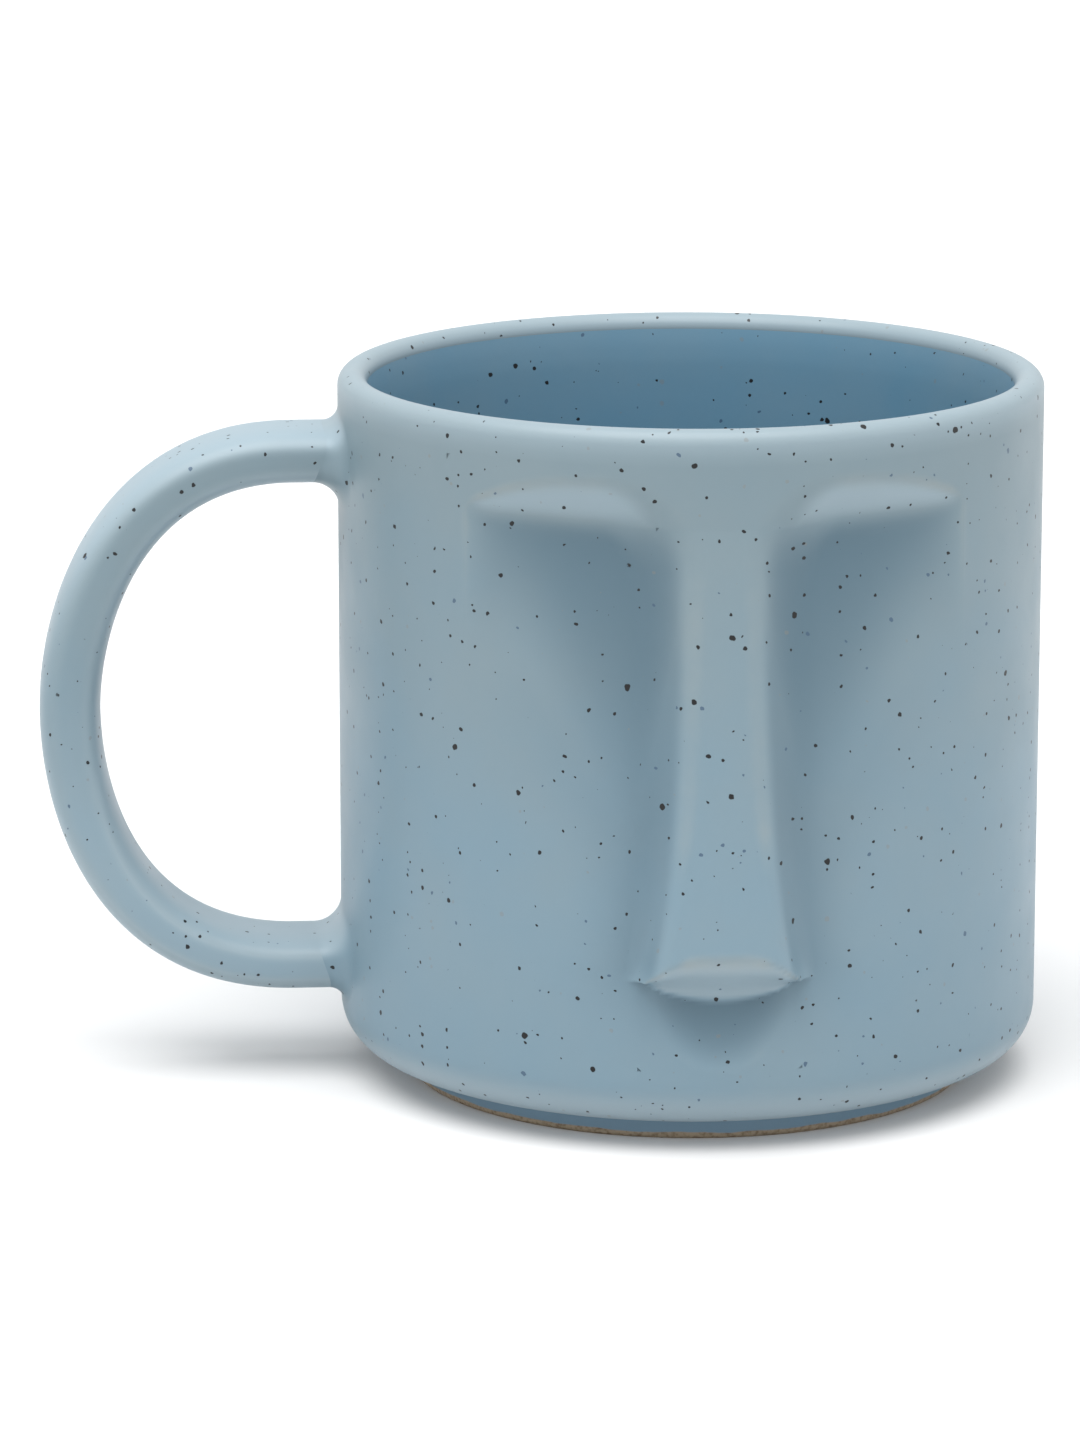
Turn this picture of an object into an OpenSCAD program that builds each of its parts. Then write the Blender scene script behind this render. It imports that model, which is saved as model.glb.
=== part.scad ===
// Stoneware mug with a moulded face relief on the front and a strap handle on one side.
// Frame: origin at the centre of the foot's contact face, +Z up. The face looks along -Y and the
// handle stands out along -X. All sizes are in millimetres.

/* [Body] */
// Outside diameter of the straight wall
outer_d = 88; // [72:1:110]
// Height from the table to the top of the lip
height = 89.5; // [76:0.5:120]
// Thickness of the clay wall below the lip
wall_t = 4.4; // [4.1:0.1:6]
// Thickness of the full-round lip
lip_t = 3.7; // [3:0.1:5]
// Depth below the lip over which the inside tapers out to the full wall
lip_taper_h = 16; // [8:1:24]
// Radius of the outside corner between the wall and the underside
corner_r = 6; // [4:0.5:8]
// Radius of the inside corner between the wall and the floor
inner_corner_r = 8; // [5:0.5:12]
// Thickness of the clay floor
floor_t = 4.2; // [3:0.1:7]
// Thickness of the glaze coat inside
liner_t = 0.4; // [0.3:0.05:0.8]

/* [Foot] */
// Outside diameter of the foot ring
foot_d = 71; // [56:1:74]
// Height of the foot ring
foot_h = 3.3; // [2.5:0.1:7]
// Width of the foot ring's contact face
foot_w = 4.4; // [3:0.1:7]
// Rounding of the foot ring's two lower edges
foot_edge_r = 0.8; // [0.3:0.1:1.2]

/* [Face relief] */
// Depth of the eye sockets below the wall's surface
socket_depth = 3; // [1.5:0.1:3.2]
// Length over which a socket rises to the cheek beside the nose
socket_run = 44; // [30:1:50]
// Length over which a socket rises to the cheek under the brow's outer part
socket_end_run = 22; // [12:1:40]
// Clay left between the deepest socket and the back of the panel
panel_min_t = 0.4; // [0.3:0.1:0.8]
// Distance from the middle of the face to the outer tip of a brow, along the wall
brow_reach = 33; // [26:1:35]
// Drop from the top of the lip to the highest line of the brows
brow_drop = 7.2; // [6:0.1:12]
// Fall of each brow from its middle to its outer tip
brow_fall = 3.2; // [1:0.1:5]
// Drop from the highest line of the brows to the level crease under them
crease_drop = 4; // [2.5:0.1:6]
// Radius of the bend from a brow down into the nose
brow_bend_r = 11; // [7:0.5:13]
// Half width of the nose at the bridge
bridge_half_w = 4; // [3:0.1:6]
// Half width of the nose at its tip
tip_half_w = 7.6; // [6:0.1:11]
// Height of the nose tip's lower edge above the table
tip_z = 22; // [18:0.5:30]
// How far the nose tip stands proud of the wall
tip_proud = 5; // [3:0.1:8]
// Height of the fold at the front of the nose above the tip's lower edge
tip_fold_h = 3.2; // [2.5:0.1:6]
// Depth of the shallow bowl in the wall under the nose
under_depth = 1; // [0:0.1:1.5]
// Height above the table at which the bowl under the nose runs out
under_nose_z = 10.5; // [10.5:0.5:16]

/* [Handle] */
// Distance from the wall to the outermost point of the handle
handle_reach = 37.6; // [30:0.5:48]
// Drop from the top of the lip to the centre line of the upper arm
upper_arm_drop = 9.9; // [9:0.1:20]
// Height of the lower arm's centre line above the table
lower_arm_z = 14.8; // [13:0.1:24]
// Height of the handle's outermost point above the table
belly_z = 47.2; // [38:0.5:56]
// Width of the strap
strap_w = 14.5; // [10:0.5:20]
// Thickness of the strap where it meets the wall
strap_end_t = 6.8; // [5:0.1:9]
// Thickness of the strap at its outermost point
strap_mid_t = 7.6; // [5:0.1:10]
// Straight length of each arm before the strap bends
arm_straight = 6; // [4:0.5:9]
// Radius of the slip fillets on the finger gap's side of the arms
gap_fillet_r = 3.6; // [1.5:0.1:4]
// Radius of the slip fillets on the other side of the arms
outer_fillet_r = 2; // [1:0.1:3]

/* [Hidden] */

wall_blue = "#92a7b1";
edge_blue = "#a0aaab";
liner_blue = "#6f8a9a";
bare_clay = "#c9b8a0";
round_fn = 96;
cut_fn = 360;
arc_steps = 12;

outer_r = outer_d / 2;
lip_r = lip_t / 2;
lip_z = height - lip_r;
inner_r = outer_r - wall_t;
base_r = inner_r - inner_corner_r;
floor_z = foot_h + floor_t;
wall_bottom_z = foot_h + corner_r;
foot_r = foot_d / 2;

// The face panel fills a pocket in the wall.
panel_depth = socket_depth + panel_min_t;
panel_half_s = brow_reach + 3;
brow_z = height - brow_drop;
panel_top_z = brow_z + 2.5;
panel_bottom_z = under_nose_z;
crease_z = brow_z - crease_drop;
tip_edge_z = tip_z + tip_fold_h;

// Columns and rows of the relief: the middle columns follow the nose, so both pieces share its edge.
nose_cols = 14;
side_cols = 12;
panel_cols = nose_cols + 2 * side_cols;
panel_rows = 52;
nose_first_row = 5;
nose_last_row = panel_rows - 1;
nose_seat_depth = panel_min_t / 2;
chord_half_turn = 1.6;

// A facet of the relief is rounded at its raised edge and creased at its foot, as shares of its width.
edge_round = 0.4;
crease_round = 0.4;
brow_least_w = 0.9;
brow_inner_extra_w = 1.8;
brow_inner_s = 16;
flank_bridge_w = 4.2;
flank_tip_w = 2.5;
tip_corner_drop = 3;
tip_under_rise = 1.4;
tip_under_drop = 1.2;

// The strap's section is a rounded rectangle, swept along two bends.
strap_sides = 28;
strap_squareness = 3.2;
bend_steps = 13;
upper_arm_bulge = 0.78;
upper_belly_bulge = 0.35;
lower_belly_bulge = 0.386;
lower_arm_bulge = 0.8;
arm_bury = 2;
arm_bend_x = outer_r + arm_straight;
belly_x = outer_r + handle_reach - strap_mid_t / 2;
upper_arm_z = height - upper_arm_drop;
fillet_steps = 5;

function clamp01(t) = max(0, min(1, t));
function ease(t) = let (c = clamp01(t)) c * c * (3 - 2 * c);
function mix(a, b, t) = a + (b - a) * t;
function arc(x, z, r, from, to) = [for (k = [0:arc_steps]) let (a = mix(from, to, k / arc_steps))
    [x + r * cos(a), z + r * sin(a)]];

// Radius of the body's outside at a height: the straight wall, then the rounded corner.
function body_r(z) = z >= wall_bottom_z ? outer_r
    : outer_r - corner_r + sqrt(max(0, pow(corner_r, 2) - pow(wall_bottom_z - z, 2)));

// --- Relief: height over the wall at distance s from the face's middle, along the wall, and height z ---

// Upper edge of the brows
function brow_line(s) = brow_z - brow_fall * pow(clamp01(abs(s) * 2 / brow_reach - 1), 2);

// 0 at the bridge of the nose and 1 at its tip
function along_nose(z) = clamp01((brow_z - 5 - z) / (brow_z - 5 - tip_z));

// Half width of the nose's flat front, and the width of the flank beside it
function front_w(z) = mix(bridge_half_w, tip_half_w, pow(along_nose(z), 3.2));
function flank_w(z) = mix(flank_bridge_w, flank_tip_w, ease(along_nose(z) * 1.6 - 0.6));

// Distance into a socket from the edge of brow and nose, with a round bend between the two
function socket_in(s, z) = let (r = brow_bend_r, a = r - brow_line(s) + z, b = r - abs(s) + front_w(z))
    (a > 0 && b > 0) ? r - norm([a, b]) : r - max(a, b);

// A facet between two levels: t is 0 at its raised edge and 1 at its foot
function fold(t) = let (a = max(0, edge_round - abs(t)) / edge_round,
        u = max(0, t) + a * a * edge_round / 4,
        b = max(0, crease_round - abs(1 - u)) / crease_round)
    min(u, 1) - b * b * crease_round / 4;

// Width of the facet under the brow, down to a level crease, and beside the nose
function roll_w(s, z) = mix(flank_w(z), max(brow_line(s) - crease_z, brow_least_w)
    + brow_inner_extra_w * ease((brow_inner_s - abs(s)) / 8), ease((z - brow_z + 16) / 9));

// Socket floor: deep under the whole brow, rising to the cheek below it, later beside the nose
function socket_floor(s, z) = let (end = pow(clamp01((abs(s) - brow_reach + 16) / 16), 2),
        run = mix(socket_run, socket_end_run, ease((abs(s) - 8) / 20)))
    -socket_depth * (1 - end) * ease(1 - (brow_line(s) - z) / run);

// Shallow bowl in the wall under the nose
function under_dip(s, z) = -under_depth
    * ease(1 - pow(s / (tip_half_w + 1.2), 2) - pow((tip_z - z) / (tip_z - under_nose_z), 2));

// Front of the nose: rises from the bridge to the tip, then folds back to the wall
function nose_front(s, z) = let (side = pow(clamp01(abs(s) / (tip_half_w + 1.5)), 2),
        edge = tip_edge_z - tip_corner_drop * pow(side, 1.5),
        under = tip_z - tip_under_drop + tip_under_rise * side)
    mix(tip_proud * along_nose(z), under_dip(s, z), fold((edge - z) / (edge - under)));

function relief(s, z) = mix(nose_front(s, z), socket_floor(s, z), fold(socket_in(s, z) / roll_w(s, z)));

// --- Grids of points ---

function nose_edge(z) = front_w(z) + flank_w(z);
function col_s(i, z) = let (e = nose_edge(z), k = i - side_cols)
    k < 0 ? mix(-panel_half_s, -e, i / side_cols)
    : k > nose_cols ? mix(e, panel_half_s, (k - nose_cols) / side_cols)
    : mix(-e, e, k / nose_cols);
function row_z(j) = mix(panel_top_z, panel_bottom_z, j / panel_rows);
function at(s, z, r) = let (a = s / outer_r * 180 / PI) [r * sin(a), -r * cos(a), z];
function front_point(i, j) = let (z = row_z(j), s = col_s(i, z)) at(s, z, outer_r + relief(s, z));

// Seat of the nose on the panel, which meets the relief along the nose's edge
function seat_point(i, j) = let (z = row_z(j), s = col_s(i, z), e = nose_edge(z))
    at(s, z, outer_r + min(relief(e, z), relief(s, z)) - nose_seat_depth);
function in_seat(i, j) = i > side_cols && i < side_cols + nose_cols
    && j > nose_first_row && j < nose_last_row;

// Back of the panel: its chords touch the round floor of the pocket
back_r = (outer_r - panel_depth) / cos(chord_half_turn);
function back_point(i, j) = let (z = row_z(j)) at(col_s(i, z), z, back_r);

// Two triangles of a grid cell with corners a b / c d, seen from its front
function cell(a, b, c, d) = [[a, b, c], [b, d, c]];

// --- The strap ---

function bezier(a, b, c, d, t) = pow(1 - t, 3) * a + 3 * t * pow(1 - t, 2) * b + 3 * t * t * (1 - t) * c
    + pow(t, 3) * d;
function upper_bend(t) = bezier([arm_bend_x, upper_arm_z],
    [mix(arm_bend_x, belly_x, upper_arm_bulge), upper_arm_z],
    [belly_x, mix(belly_z, upper_arm_z, upper_belly_bulge)], [belly_x, belly_z], t);
function lower_bend(t) = bezier([belly_x, belly_z], [belly_x, mix(belly_z, lower_arm_z, lower_belly_bulge)],
    [mix(arm_bend_x, belly_x, lower_arm_bulge), lower_arm_z], [arm_bend_x, lower_arm_z], t);
strap_path = concat([[outer_r - arm_bury, upper_arm_z]],
    [for (k = [0:bend_steps]) upper_bend(k / bend_steps)],
    [for (k = [1:bend_steps]) lower_bend(k / bend_steps)],
    [[outer_r - arm_bury, lower_arm_z]]);
strap_last = len(strap_path) - 1;
function along_strap(k) = clamp01((k - 1) / (strap_last - 2));
function strap_t(k) = mix(strap_end_t, strap_mid_t, pow(sin(180 * along_strap(k)), 1.5));

// A point of the section, as [across the strap, through the strap]
function corner_pow(v) = sign(v) * pow(abs(v), 2 / strap_squareness);
function section(m, w, t) = let (a = (m + 0.5) * 360 / strap_sides)
    [corner_pow(cos(a)) * w / 2, corner_pow(sin(a)) * t / 2];
function strap_dir(k) = k == 0 ? [1, 0] : k == strap_last ? [-1, 0] :
    let (d = strap_path[k + 1] - strap_path[k - 1]) d / norm(d);
function strap_ring(k) = let (p = strap_path[k], d = (k == 1 || k == strap_last - 1)
        ? [k == 1 ? 1 : -1, 0] : strap_dir(k))
    [for (m = [0:strap_sides - 1]) let (q = section(m, strap_w, strap_t(k)))
        [-(p[0] - d[1] * q[1]), q[0], p[1] + d[0] * q[1]]];

// --- Modules ---

module tube_skin(rings, closed) {
    n = len(rings[0]);
    count = len(rings);
    last = closed ? count - 1 : count - 2;
    sides = [for (j = [0:last]) for (i = [0:n - 1])
        let (b = (i + 1) % n, k = (j + 1) % count) each cell(j * n + i, j * n + b, k * n + i, k * n + b)];
    caps = closed ? [] : [[for (i = [n - 1:-1:0]) i], [for (i = [0:n - 1]) (count - 1) * n + i]];
    polyhedron([for (r = rings) each r], concat(sides, caps), convexity = 8);
}

// The body's outside as one solid, for cutting what stands against it
module body_outside() {
    rotate_extrude($fn = cut_fn)
        polygon(concat([[0, foot_h - 1], [outer_r - corner_r, foot_h - 1]],
            arc(outer_r - corner_r, wall_bottom_z, corner_r, -90, 0),
            [[outer_r, height], [0, height]]));
}

module face_pocket() {
    half = panel_half_s / outer_r * 180 / PI;
    rotate([0, 0, -90 - half])
        rotate_extrude(angle = 2 * half, $fn = round_fn)
            translate([outer_r - panel_depth, panel_bottom_z])
                square([panel_depth + 5, panel_top_z - panel_bottom_z]);
}

module body_wall() {
    color(wall_blue) difference() {
        rotate_extrude($fn = round_fn)
            polygon(concat([[base_r, foot_h]],
                arc(outer_r - corner_r, wall_bottom_z, corner_r, -90, 0),
                arc(outer_r - lip_r, lip_z, lip_r, 0, 180),
                [[inner_r, height - lip_taper_h]],
                arc(base_r, floor_z + inner_corner_r, inner_corner_r, 0, -90)));
        face_pocket();
    }
}

module base_disc() {
    color(wall_blue) translate([0, 0, foot_h]) cylinder(r = base_r, h = floor_t, $fn = round_fn);
}

module foot_ring() {
    inner = foot_r - foot_w;
    color(bare_clay) rotate_extrude($fn = round_fn)
        polygon(concat([[inner, foot_h]],
            arc(inner + foot_edge_r, foot_edge_r, foot_edge_r, 180, 270),
            arc(foot_r - foot_edge_r, foot_edge_r, foot_edge_r, -90, 0),
            [[foot_r, foot_h]]));
}

module liner_glaze() {
    thin_r = outer_r - lip_t;
    full_z = height - lip_taper_h;
    inside_r = inner_r - liner_t;
    color(liner_blue) rotate_extrude($fn = round_fn)
        polygon(concat([[thin_r, lip_z], [inner_r, full_z]],
            arc(base_r, floor_z + inner_corner_r, inner_corner_r, 0, -90),
            [[0, floor_z], [0, floor_z + liner_t]],
            arc(base_r, floor_z + inner_corner_r, inner_corner_r - liner_t, -90, 0),
            [[inside_r, full_z]]));
}

module face_panel() {
    ni = panel_cols + 1;
    n = ni * (panel_rows + 1);
    front = [for (j = [0:panel_rows]) for (i = [0:panel_cols])
        in_seat(i, j) ? seat_point(i, j) : front_point(i, j)];
    back = [for (j = [0:panel_rows]) for (i = [0:panel_cols]) back_point(i, j)];
    bottom = panel_rows * ni;
    faces = concat(
        [for (j = [0:panel_rows - 1]) for (i = [0:panel_cols - 1]) let (a = j * ni + i)
            each cell(a, a + 1, a + ni, a + ni + 1)],
        [for (j = [0:panel_rows - 1]) for (i = [0:panel_cols - 1]) let (a = n + j * ni + i)
            each cell(a + 1, a, a + ni + 1, a + ni)],
        [for (i = [0:panel_cols - 1]) each cell(n + i, n + i + 1, i, i + 1)],
        [for (i = [0:panel_cols - 1]) let (a = bottom + i) each cell(a, a + 1, n + a, n + a + 1)],
        [for (j = [0:panel_rows - 1]) let (a = j * ni) each cell(n + a, a, n + a + ni, a + ni)],
        [for (j = [0:panel_rows - 1]) let (a = j * ni + ni - 1) each cell(a, n + a, a + ni, n + a + ni)]);
    color(edge_blue) polyhedron(concat(front, back), faces, convexity = 8);
}

module nose() {
    ni = nose_cols + 1;
    nj = nose_last_row - nose_first_row + 1;
    n = ni * nj;
    top = [for (j = [0:nj - 1]) for (i = [0:ni - 1]) front_point(side_cols + i, nose_first_row + j)];
    seat = [for (j = [1:nj - 2]) for (i = [1:ni - 2]) seat_point(side_cols + i, nose_first_row + j)];
    function under(i, j) = (i == 0 || i == ni - 1 || j == 0 || j == nj - 1) ? j * ni + i
        : n + (j - 1) * (ni - 2) + i - 1;
    faces = concat(
        [for (j = [0:nj - 2]) for (i = [0:ni - 2]) let (a = j * ni + i)
            each cell(a, a + 1, a + ni, a + ni + 1)],
        [for (j = [0:nj - 2]) for (i = [0:ni - 2])
            each cell(under(i + 1, j), under(i, j), under(i + 1, j + 1), under(i, j + 1))]);
    color(wall_blue) polyhedron(concat(top, seat), faces, convexity = 8);
}

module handle() {
    color(wall_blue) difference() {
        tube_skin([for (k = [0:strap_last]) strap_ring(k)], false);
        body_outside();
    }
}

// Slip fillet round a straight arm whose centre line is at height z0. The finger gap is above the arm
// where gap_side is 1 and below it where gap_side is -1.
module handle_joint(z0, gap_side) {
    function radius(m) = mix(outer_fillet_r, gap_fillet_r, ease(0.5 + section(m, 1, 1)[1] * gap_side));
    function face_x(y, z) = sqrt(max(1, pow(body_r(max(z, foot_h + 0.2)), 2) - y * y));
    function out_from(m, o, dx) = let (q = section(m, strap_w + 2 * o, strap_end_t + 2 * o))
        [-(face_x(q[0], z0 + q[1]) + dx), q[0], z0 + q[1]];
    rings = [for (m = [strap_sides - 1:-1:0]) concat(
        [out_from(m, 0, 0), out_from(m, radius(m) / 2, 0)],
        [for (k = [0:fillet_steps]) let (b = 90 * k / fillet_steps)
            out_from(m, radius(m) * (1 - sin(b)), radius(m) * (1 - cos(b)))])];
    color(wall_blue) tube_skin(rings, true);
}

module upper_handle_joint() {
    handle_joint(upper_arm_z, -1);
}

module lower_handle_joint() {
    handle_joint(lower_arm_z, 1);
}

body_wall();
base_disc();
foot_ring();
face_panel();
nose();
handle();
upper_handle_joint();
lower_handle_joint();
liner_glaze();
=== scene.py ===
"""A speckled stoneware mug with a face relief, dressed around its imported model."""

import logging
import math
from dataclasses import dataclass, field
from enum import Enum
from typing import Callable, Sequence

import bpy
import numpy as np
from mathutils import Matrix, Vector


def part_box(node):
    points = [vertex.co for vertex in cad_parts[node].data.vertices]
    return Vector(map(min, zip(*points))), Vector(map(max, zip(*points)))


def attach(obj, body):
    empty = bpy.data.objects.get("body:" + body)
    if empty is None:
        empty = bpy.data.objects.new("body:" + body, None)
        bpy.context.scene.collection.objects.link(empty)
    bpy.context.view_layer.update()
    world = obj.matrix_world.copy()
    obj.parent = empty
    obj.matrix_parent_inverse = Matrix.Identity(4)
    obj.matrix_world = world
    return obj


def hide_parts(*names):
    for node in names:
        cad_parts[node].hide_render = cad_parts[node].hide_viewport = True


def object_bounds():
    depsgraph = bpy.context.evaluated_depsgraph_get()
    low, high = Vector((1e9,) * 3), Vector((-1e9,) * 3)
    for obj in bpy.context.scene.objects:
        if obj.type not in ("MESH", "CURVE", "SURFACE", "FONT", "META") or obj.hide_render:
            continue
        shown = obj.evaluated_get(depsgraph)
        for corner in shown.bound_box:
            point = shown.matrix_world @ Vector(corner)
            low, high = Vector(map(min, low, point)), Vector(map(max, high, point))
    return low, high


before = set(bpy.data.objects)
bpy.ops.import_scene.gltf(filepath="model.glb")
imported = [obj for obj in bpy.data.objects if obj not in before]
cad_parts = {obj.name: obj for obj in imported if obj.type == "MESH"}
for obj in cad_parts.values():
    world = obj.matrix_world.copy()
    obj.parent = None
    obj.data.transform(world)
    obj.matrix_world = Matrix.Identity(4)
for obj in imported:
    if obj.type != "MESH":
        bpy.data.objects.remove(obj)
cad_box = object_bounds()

LOG = logging.getLogger("mug")
MM = 0.001  # metres in a millimetre; sizes below are in millimetres unless they say otherwise
TAU = 2 * math.pi
UNDERSIDE_LIGHT = 1.5  # painted-shading value of a steep underside: painted light, paler where a surface faces down
STEEP = 0.6  # how far down a normal points, of 1, where the painted underside light is full
ARC_POINTS = 97
NOISE_LOW, NOISE_HIGH = 0.3, 0.7  # most of a noise texture lies between these
MULTIPLY_ADD = {"operation": "MULTIPLY_ADD"}
SMOOTH = {"interpolation_type": "SMOOTHSTEP"}
COLOUR_MIX = {"data_type": "RGBA"}
Array = np.ndarray
Surface = Callable[[Array, Array], Array]


# --- Colours and node trees ---


def srgb(hex_colour: str) -> tuple[float, float, float, float]:
    """An sRGB hex colour as linear RGBA.

    Args:
        hex_colour: Six hex digits after a hash sign.

    Returns:
        Linear red, green, blue and an alpha of 1.
    """
    parts = [int(hex_colour[i : i + 2], 16) / 255 for i in (1, 3, 5)]
    linear = [c / 12.92 if c <= 0.04045 else ((c + 0.055) / 1.055) ** 2.4 for c in parts]
    return (*linear, 1.0)


def add_node(
    tree: bpy.types.NodeTree,
    kind: str,
    settings: dict[str, object] | None = None,
    inputs: dict[str | int, object] | None = None,
) -> bpy.types.Node:
    """Adds a node, sets it up and links it.

    Args:
        tree: The node tree that gets the node.
        kind: The node's type, such as ShaderNodeMix.
        settings: Node properties to set.
        inputs: Socket names or numbers, each with a value or the output socket that feeds it.

    Returns:
        The new node.
    """
    node = tree.nodes.new(kind)
    for name, value in (settings or {}).items():
        setattr(node, name, value)
    for key, value in (inputs or {}).items():
        if isinstance(value, bpy.types.NodeSocket):
            tree.links.new(value, node.inputs[key])
        else:
            node.inputs[key].default_value = value
    return node


# --- Meshes from surfaces ---


@dataclass
class Patch:
    """A grid of points on a surface, with its normals and how sharply it bulges.

    Attributes:
        points: Rows by columns by 3, in millimetres.
        normals: Unit normals of the finished surface at the points.
        bulge: Mean curvature in 1/mm, positive where the surface is convex.
        pool: Painted shade, in millimetres, where the surface lies below its surroundings, standing in for
            shadow and occlusion; less than 0 for painted light on undersides.
    """

    points: Array
    normals: Array
    bulge: Array
    pool: Array

    def part(self, rows: slice, cols: slice) -> "Patch":
        """The part of the grid in these rows and columns."""
        return Patch(*(x[rows, cols] for x in (self.points, self.normals, self.bulge, self.pool)))

    def flipped(self) -> "Patch":
        """The same grid seen from its other side."""
        back = slice(None, None, -1)
        return Patch(self.points[:, back], -self.normals[:, back], -self.bulge[:, back], self.pool[:, back])


def sample(surface: Surface, us: Array, vs: Array, reach: float = 1.4) -> Patch:
    """Samples a surface with its normals and bulge, and paints light on its undersides.

    Args:
        surface: Gives points for arrays of u and v. Its normal is dP/du x dP/dv.
        us: Column positions, as a row or as a rows by columns grid.
        vs: Row positions.
        reach: Distance in millimetres over which the bulge is measured.

    Returns:
        The patch, one row for each v.
    """
    u = np.broadcast_to(us, (len(vs), np.shape(us)[-1])).astype(float)
    v = np.broadcast_to(np.asarray(vs, float)[:, None], u.shape)
    tiny = 1e-3
    points = surface(u, v)
    du = (surface(u + tiny, v) - surface(u - tiny, v)) / (2 * tiny)
    dv = (surface(u, v + tiny) - surface(u, v - tiny)) / (2 * tiny)
    normals = np.cross(du, dv)
    normals /= np.maximum(np.linalg.norm(normals, axis=-1, keepdims=True), 1e-12)
    bulge = np.zeros(u.shape)
    for move_u, move_v, slope in ((1, 0, du), (0, 1, dv)):
        step = reach / np.maximum(np.linalg.norm(slope, axis=-1), 1e-3)
        near = surface(u + step * move_u, v + step * move_v) + surface(u - step * move_u, v - step * move_v)
        bulge += np.sum((points - near / 2) * normals, axis=-1) / reach**2
    # Painted light: faces that point down get a paler colour, standing in for light bounced up from the
    # floor.
    return Patch(points, normals, bulge, -UNDERSIDE_LIGHT * ramp(-normals[..., 2] / STEEP))


def hidden(points: Array) -> Patch:
    """A grid that nothing shows, whose normals Blender may work out."""
    flat = np.zeros(points.shape[:2])
    return Patch(points, np.zeros(points.shape), flat, flat)


def bridge(first: Array, second: Array) -> Patch:
    """A strip of faces that joins two rows of points."""
    return hidden(np.stack([first, second]))


def build_piece(name: str, patches: Sequence[Patch]) -> bpy.types.Object:
    """Welds patches into one mesh that keeps the patches' own normals.

    Args:
        name: The piece's name.
        patches: Grids that meet at their edges.

    Returns:
        The new object, in metres, with bulge and painted-shading attributes on its points.
    """
    points, normals, bulge, pool, quads, start = [], [], [], [], [], 0
    for patch in patches:
        rows, cols = patch.points.shape[:2]
        index = start + np.arange(rows * cols).reshape(rows, cols)
        quads.append(
            np.stack([index[:-1, :-1], index[:-1, 1:], index[1:, 1:], index[1:, :-1]], -1).reshape(-1, 4)
        )
        points.append(patch.points.reshape(-1, 3))
        normals.append(patch.normals.reshape(-1, 3))
        bulge.append(patch.bulge.reshape(-1))
        pool.append(patch.pool.reshape(-1))
        start += rows * cols
    all_points, all_normals = np.concatenate(points), np.concatenate(normals)
    weld_mm = 1e-3
    _, first, same = np.unique(
        np.round(all_points / weld_mm).astype(np.int64), axis=0, return_index=True, return_inverse=True
    )
    same = same.reshape(-1)
    faces, corners = [], []
    for quad in np.concatenate(quads):
        face, corner = [], []
        for point in quad:
            if same[point] not in face:
                face.append(int(same[point]))
                corner.append(int(point))
        if len(face) > 2:
            faces.append(face)
            corners += corner
    mesh = bpy.data.meshes.new(name)
    mesh.from_pydata((all_points[first] * MM).tolist(), [], faces)
    mesh.shade_smooth()
    mesh.normals_split_custom_set(all_normals[corners].tolist())
    # The second attribute is painted shading: painted shade above 0, painted light below 0.
    for attribute, values in (("bulge", np.concatenate(bulge)), ("pool", np.concatenate(pool))):
        merged = np.zeros(len(first))
        np.maximum.at(merged, same, np.abs(values))
        sign = np.sign(np.bincount(same, values, len(first)))
        mesh.attributes.new(attribute, "FLOAT", "POINT").data.foreach_set("value", merged * sign)
    mesh.update()
    piece = bpy.data.objects.new(name, mesh)
    bpy.context.scene.collection.objects.link(piece)
    return piece


def ramp(values: Array) -> Array:
    """Smooth step from 0 to 1 as the values go from 0 to 1."""
    t = np.clip(values, 0, 1)
    return t * t * (3 - 2 * t)


def mix(a: Array | float, b: Array | float, t: Array | float) -> Array | float:
    """From a to b as t goes from 0 to 1."""
    return a + (b - a) * t


# --- Finishes ---


class Coat(Enum):
    """Which coat of the mug a piece shows."""

    OUTSIDE = "satin_glaze"
    RELIEF = "relief_glaze"
    LINER = "liner_glaze"
    FOOT = "foot_clay"


@dataclass(frozen=True)
class Speckle:
    """Iron and rutile grains that bleed through the glaze.

    Attributes:
        name: What the grains are, for the node's label.
        colour: Their sRGB colour.
        spacing_mm: Mean distance between grains.
        largest_mm: Radius of the largest grain.
        rarity: Power on the random size; a higher one leaves fewer large grains.
        strength: How much of the glaze a grain hides.
    """

    name: str
    colour: str
    spacing_mm: float
    largest_mm: float
    rarity: float
    strength: float


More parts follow.
